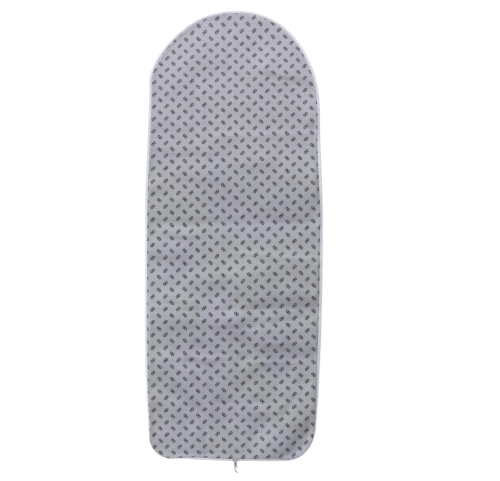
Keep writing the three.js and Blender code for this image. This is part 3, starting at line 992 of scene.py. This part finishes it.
def face_rings(places):
    """Insets and heights of the face, from its flat middle over the hump to its raw edge in the tape."""
    lean = hem.lean(places)
    hinge_inset, hinge_height = hem.section(places, HINGE, FACE_ABOVE)
    rise_inset = hinge_inset + HEM_RISE * np.cos(lean)
    rise_height = hinge_height + HEM_PUFF + HEM_RISE * np.sin(lean)
    flat_edge = spread(places, HEM_HUMP, FACE_HEIGHT)
    flat_height = FACE_HEIGHT + relief(flat_edge)
    rings = []
    for t in np.linspace(1, 0, HUMP_STEPS + 1):
        a, b, c, d = cubic_weights(t)
        rings.append((a * hinge_inset + b * rise_inset + c * (HEM_HUMP - HEM_FALL) + d * HEM_HUMP,
                      a * hinge_height + b * rise_height + (c + d) * flat_height))
    for along in np.linspace(HINGE, RAW_EDGE, STRIP_STEPS + 1)[1:]:
        rings.append(hem.section(places, along, FACE_ABOVE))
    return np.array(rings)


def sunk_rings(rings, depths):
    """The same rings, each moved in from the face by a depth square to it."""
    run = np.gradient(rings, axis=0)
    run /= np.linalg.norm(run, axis=1)[:, None]
    under = np.stack([-run[:, 1], run[:, 0]], 1)
    return rings + under * np.asarray(depths)[:, None, None]


def layer_points(columns, rows, depths):
    """All points of a layer in the order that sheet_shape makes them, and where they lie when cut flat.
    depths are how far the layer lies under the face, from the middle to the raw edge."""
    places = loop_stations(columns, rows)
    rings = sunk_rings(face_rings(places), depths)
    rings = [spread(places, inset, height) for inset, height in rings]
    inside = grid_inside(rings[0][:, :2], columns, rows).reshape(-1, 2)
    heights = FACE_HEIGHT - depths[0] + relief(inside)
    points = [np.column_stack([inside, heights])]
    flats = [inside]
    inset = HEM_HUMP
    for last, ring in zip(rings[:-1], rings[1:]):
        inset = inset - np.linalg.norm(ring - last, axis=1)
        points.append(ring)
        flats.append(spread(places, inset, 0)[:, :2])
    return np.vstack(points), np.vstack(flats)


def sheet_shape(columns, rows, points, flats):
    """A grid with rings of faces round it, out to the raw edge."""
    shape = bmesh.new()
    number = shape.verts.layers.int.new("number")
    place = shape.verts.layers.int.new("place")
    bmesh.ops.create_grid(shape, x_segments=columns, y_segments=rows, size=1)
    for index, (vert, station) in enumerate(zip(shape.verts, grid_stations(columns, rows).ravel())):
        vert[number] = station
        vert[place] = index
    loop_count = 2 * (columns + rows)
    first = (columns + 1) * (rows + 1)
    edges = border(shape.edges)
    while first < len(points):
        made = bmesh.ops.extrude_edge_only(shape, edges=edges)["geom"]
        for vert in of_kind(made, bmesh.types.BMVert):
            vert[place] = first + vert[number] % loop_count
        edges = border(made)
        first += loop_count
    uv = shape.loops.layers.uv.new("flat")
    for vert in shape.verts:
        vert.co = points[vert[place]]
    for face in shape.faces:
        for loop in face.loops:
            loop[uv].uv = flats[loop.vert[place]]
    return shape, place


FACE_COLUMNS = 96
FACE_ROWS = 350


def make_face():
    """The printed cloth, which follows the relief and ends inside the tape."""
    depths = np.zeros(HUMP_STEPS + STRIP_STEPS + 1)
    points, flats = layer_points(FACE_COLUMNS, FACE_ROWS, depths)
    shape, _ = sheet_shape(FACE_COLUMNS, FACE_ROWS, points, flats)
    piece = make_piece("printed_face", shape, "printed_cotton", ["face_fabric"])
    cloth = piece.modifiers.new("cloth_thickness", "SOLIDIFY")
    cloth.thickness = FACE_THICKNESS
    cloth.offset = -1
    return piece


PAD_COLUMNS = 44
PAD_ROWS = 115
PAD_CLEARANCE = FACE_THICKNESS + LAYER_GAP
PAD_MIDDLE_CLEARANCE = 0.0015
PAD_LOWEST = 0.0002


def make_pad():
    """Foam that follows the face from below, kept above the floor and pinched thin inside the tape."""
    pinch = np.concatenate([np.linspace(1, 0, HUMP_STEPS + 1), np.zeros(STRIP_STEPS)])
    pinch = pinch ** 2 * (3 - 2 * pinch)
    top_depths = PAD_CLEARANCE + (PAD_MIDDLE_CLEARANCE - PAD_CLEARANCE) * pinch
    edge_depth = PAD_CLEARANCE + PAD_EDGE_THICKNESS
    bottom_depths = edge_depth + (FACE_HEIGHT - PAD_LOWEST - edge_depth) * pinch
    top, flats = layer_points(PAD_COLUMNS, PAD_ROWS, top_depths)
    bottom, _ = layer_points(PAD_COLUMNS, PAD_ROWS, bottom_depths)
    bottom[:, 2] = np.maximum(bottom[:, 2], PAD_LOWEST)
    shape, place = sheet_shape(PAD_COLUMNS, PAD_ROWS, bottom, flats)
    bmesh.ops.reverse_faces(shape, faces=shape.faces)
    lower_edge = border(shape.edges)
    copied = bmesh.ops.duplicate(shape, geom=shape.verts[:] + shape.edges[:] + shape.faces[:])["geom"]
    for vert in of_kind(copied, bmesh.types.BMVert):
        vert.co = top[vert[place]]
    bmesh.ops.reverse_faces(shape, faces=of_kind(copied, bmesh.types.BMFace))
    bmesh.ops.bridge_loops(shape, edges=lower_edge + border(copied))
    return make_piece("foam_backing", shape, "foam", ["foam_pad"])


face = make_face()
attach(face, "cover")
pad = make_pad()
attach(pad, "cover")


# Hem pieces

TAPE_SPACING = 0.002
BEAD_STEPS = 16
BEAD_TANGENT = 0.0008
LEAF_START = 0.0028
LEAF_POINTS = 4
TAUT_POINTS = 5
PUCKER = 0.00007
# Waves of the upper leaf's pucker: share of its height, length, phase
PUCKER_WAVES = [(1.0, 0.0075, 0.0), (0.7, 0.0117, 1.0)]


def leaf_surface(along):
    """Height of the upper leaf's outer side above the cord's line."""
    bead_top = math.sqrt(BEAD_RADIUS ** 2 - BEAD_TANGENT ** 2)
    return np.interp(along, (BEAD_TANGENT, SEAM_LINE, LEAF_LENGTH),
                     (bead_top, LEAF_TOP, LEAF_TOP - LEAF_THICKNESS / 2))


def tape_section():
    """The folded tape's closed section, along and above the cord: upper leaf, bead, lower leaf and back."""
    def arc(radius, height):
        start = math.asin(height / radius)
        angles = np.linspace(start, 2 * np.pi - start, BEAD_STEPS)
        return np.stack([radius * np.cos(angles), radius * np.sin(angles)], -1)

    def level(start, end, height):
        return np.linspace((start, height), (end, height), LEAF_POINTS)

    outer, inner = STACK_HALF, STACK_HALF - TAPE_THICKNESS
    lower = level(LEAF_START, LEAF_LENGTH, -outer)
    lower_inner = level(LEAF_LENGTH, LEAF_START, -inner)
    upper_inner = level(LEAF_START, LEAF_LENGTH, LEAF_TOP - LEAF_THICKNESS)
    bead = arc(BEAD_RADIUS, outer)
    bead = bead[bead[:, 0] < BEAD_TANGENT]
    taut = np.linspace((SEAM_LINE, LEAF_TOP), bead[0], TAUT_POINTS)[:-1]
    upper = np.vstack([[(LEAF_LENGTH, LEAF_TOP - LEAF_THICKNESS / 2)], taut])
    return np.vstack([upper, bead, lower, lower_inner, arc(CASING_RADIUS, inner)[::-1], upper_inner])


def hem_places(margin, spacing):
    """Places along the hem from one end of the mouth to the other."""
    start = MOUTH_HALF + margin
    count = round((outline.length - 2 * start) / spacing)
    return np.linspace(start, outline.length - start, count + 1)


def hem_tube(places, along, above, radius, sides, leaf=1):
    """Rings round a line along the hem, on the upper leaf's side or, for a leaf of -1, on the lower's."""
    angles = 2 * np.pi * np.arange(sides) / sides
    return np.stack([hem.points(places, along + radius * math.cos(angle),
                                leaf * (above + radius * math.sin(angle))) for angle in angles], 1)


def make_tape():
    """The tape folded round the edge, its upper leaf slightly puckered by the seam."""
    places = hem_places(0, TAPE_SPACING)
    pucker = PUCKER * sum(share * np.sin(2 * np.pi * places / length + phase)
                          for share, length, phase in PUCKER_WAVES)
    columns = [hem.points(places, along, above + pucker * (above > 0)) for along, above in tape_section()]
    shape = swept_shape(np.stack(columns, 1), places, "tape")
    return make_piece("hem_tape", shape, "binding_tape", ["edge_binding"])


HEM_CORD_MARGIN = 0.004
HEM_CORD_SPACING = 0.004
HEM_CORD_SIDES = 10


def make_hem_cord():
    """The drawcord's long run inside the casing."""
    places = hem_places(HEM_CORD_MARGIN, HEM_CORD_SPACING)
    rings = hem_tube(places, 0, 0, CORD_RADIUS, HEM_CORD_SIDES)
    return make_piece("hem_cord", swept_shape(rings, places, "cord"), "cord", ["drawcord"])


STITCH_PITCH = 0.0034
STITCH_STEPS = 6
STITCH_SIDES = 5
STITCH_FULLNESS = 0.5
STITCH_RISE = 1.5
STITCH_DIP = 1.2
SEAM_MARGIN = 0.0044


def make_stitches(name, node_name, leaf):
    """A thread along the tape's inner edge that dips into the tape between its stitches, on the upper leaf
    or under the lower one."""
    holes = hem_places(SEAM_MARGIN, STITCH_PITCH)
    count = len(holes) - 1
    places = np.linspace(holes[0], holes[-1], count * STITCH_STEPS + 1)
    share = (places - holes[0]) / (holes[-1] - holes[0])
    rise = np.abs(np.sin(np.pi * count * share)) ** STITCH_FULLNESS
    tape_top = LEAF_TOP if leaf > 0 else STACK_HALF
    middle = tape_top + THREAD_RADIUS * (STITCH_RISE * rise - STITCH_DIP)
    rings = hem_tube(places, SEAM_LINE, middle, THREAD_RADIUS, STITCH_SIDES, leaf)
    return make_piece(name, swept_shape(rings, places, "thread"), "thread", [node_name])


BAR_TACK_FROM_TAPE_END = 0.0027
BAR_TACK_HALF_WIDTH = 0.0008
BAR_TACK_START = 0.0030
BAR_TACK_MARGIN = 0.0008
BAR_TACK_STITCHES = 9
BAR_TACK_RISE = 0.6
BAR_TACK_ZIGZAG = 0.00012
BAR_STITCH_SIDES = 6
BAR_STITCH_RINGS = 5
BOTH_WAYS = np.array([-1, 1])


def add_stitch(shape, start, end, up, width):
    """One stitch: a slim bead of thread between two points."""
    along = Vector(end - start)
    across = Vector(up).cross(along).normalized()
    above = along.cross(across).normalized()
    turn = Matrix((along / 2, across * width, above * width)).transposed().to_4x4()
    turn.translation = Vector((start + end) / 2)
    bmesh.ops.create_uvsphere(shape, u_segments=BAR_STITCH_SIDES, v_segments=BAR_STITCH_RINGS,
                              radius=1, matrix=turn @ Matrix.Rotation(math.pi / 2, 4, "Y"))


def make_bar_tack(name, node_name, side):
    """Close stitches across the upper leaf near the tape's end."""
    shape = bmesh.new()
    places = side * (MOUTH_HALF + BAR_TACK_FROM_TAPE_END) + BAR_TACK_HALF_WIDTH * BOTH_WAYS
    reaches = np.linspace(BAR_TACK_START, LEAF_LENGTH - BAR_TACK_MARGIN, BAR_TACK_STITCHES)
    for index, along in enumerate(reaches):
        above = leaf_surface(along) + THREAD_RADIUS * BAR_TACK_RISE
        step = BAR_TACK_ZIGZAG * (-1) ** index
        start, end = hem.points(places, along + step * BOTH_WAYS, above)
        up = (hem.points(places, along, 2 * above) - hem.points(places, along, above))[0] / above
        add_stitch(shape, start, end, up, THREAD_RADIUS)
    return make_piece(name, shape, "thread", [node_name])


hem_pieces = [
    make_tape(),
    make_hem_cord(),
    make_stitches("needle_stitches", "needle_thread", 1),
    make_stitches("bobbin_stitches", "bobbin_thread", -1),
    make_bar_tack("left_bar_stitches", "left_bar_tack", -1),
    make_bar_tack("right_bar_stitches", "right_bar_tack", 1),
]
for piece in hem_pieces:
    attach(piece, "cover")


# Floor and light

FLOOR_SIZE = 60.0
FLOOR_DROP = 0.0004
FLOOR_GLOW = 0.70
WORLD_STRENGTH = 0.60
# Lights: name, place, what each points at, diameter, watts
LIGHTS = [
    ("key_light", (-3.2, 7.7, 3.2), (0, 0, 0), 3.0, 950),
    ("nose_light", (-0.3, 1.5, 1.2), (0, 0.7, 0), 0.8, 7),
    ("tail_light", (-0.25, -1.05, 0.08), (0, -0.65, 0), 0.5, 2.4),
    ("left_light", (-0.50, -0.15, 0.22), (-0.2, -0.15, 0), 0.3, 0.28),
    ("side_light", (2.4, -0.4, 0.4), (0.25, -0.1, 0), 0.8, 6),
]


def pale_floor():
    """A matt floor that glows a little, so that it stays almost white."""
    grey, pale_grey = rgb(0.40, 0.40, 0.405), rgb(0.41, 0.41, 0.41)
    finish = Finish("pale_floor")
    tone = finish.noise(finish.object_place(), scale=2.0, detail=1.0)
    finish.surface(Base_Color=finish.mix(tone, grey, pale_grey), Roughness=0.9,
                   Emission_Color=rgb(1.0, 1.0, 1.0), Emission_Strength=FLOOR_GLOW)
    return finish.material


def make_floor():
    shape = bmesh.new()
    bmesh.ops.create_grid(shape, x_segments=1, y_segments=1, size=FLOOR_SIZE / 2)
    floor = add_object("floor", mesh_from("floor", shape))
    floor.location.z = -FLOOR_DROP
    floor.data.materials.append(pale_floor())


def make_world():
    world = bpy.data.worlds.new("studio")
    world.use_nodes = True
    background = world.node_tree.nodes["Background"]
    background.inputs["Color"].default_value = rgb(1.0, 1.0, 1.0)
    background.inputs["Strength"].default_value = WORLD_STRENGTH
    bpy.context.scene.world = world


def make_light(name, place, target, diameter, watts):
    data = bpy.data.lights.new(name, "AREA")
    data.shape = "DISK"
    data.size = diameter
    data.energy = watts
    light = add_object(name, data)
    light.location = place
    light.rotation_mode = "QUATERNION"
    light.rotation_quaternion = (Vector(target) - Vector(place)).to_track_quat("-Z", "Y")
    light.visible_camera = False


make_floor()
make_world()
for light in LIGHTS:
    make_light(*light)
bpy.context.scene.view_settings.view_transform = "Standard"
bpy.context.scene.cycles.use_denoising = False
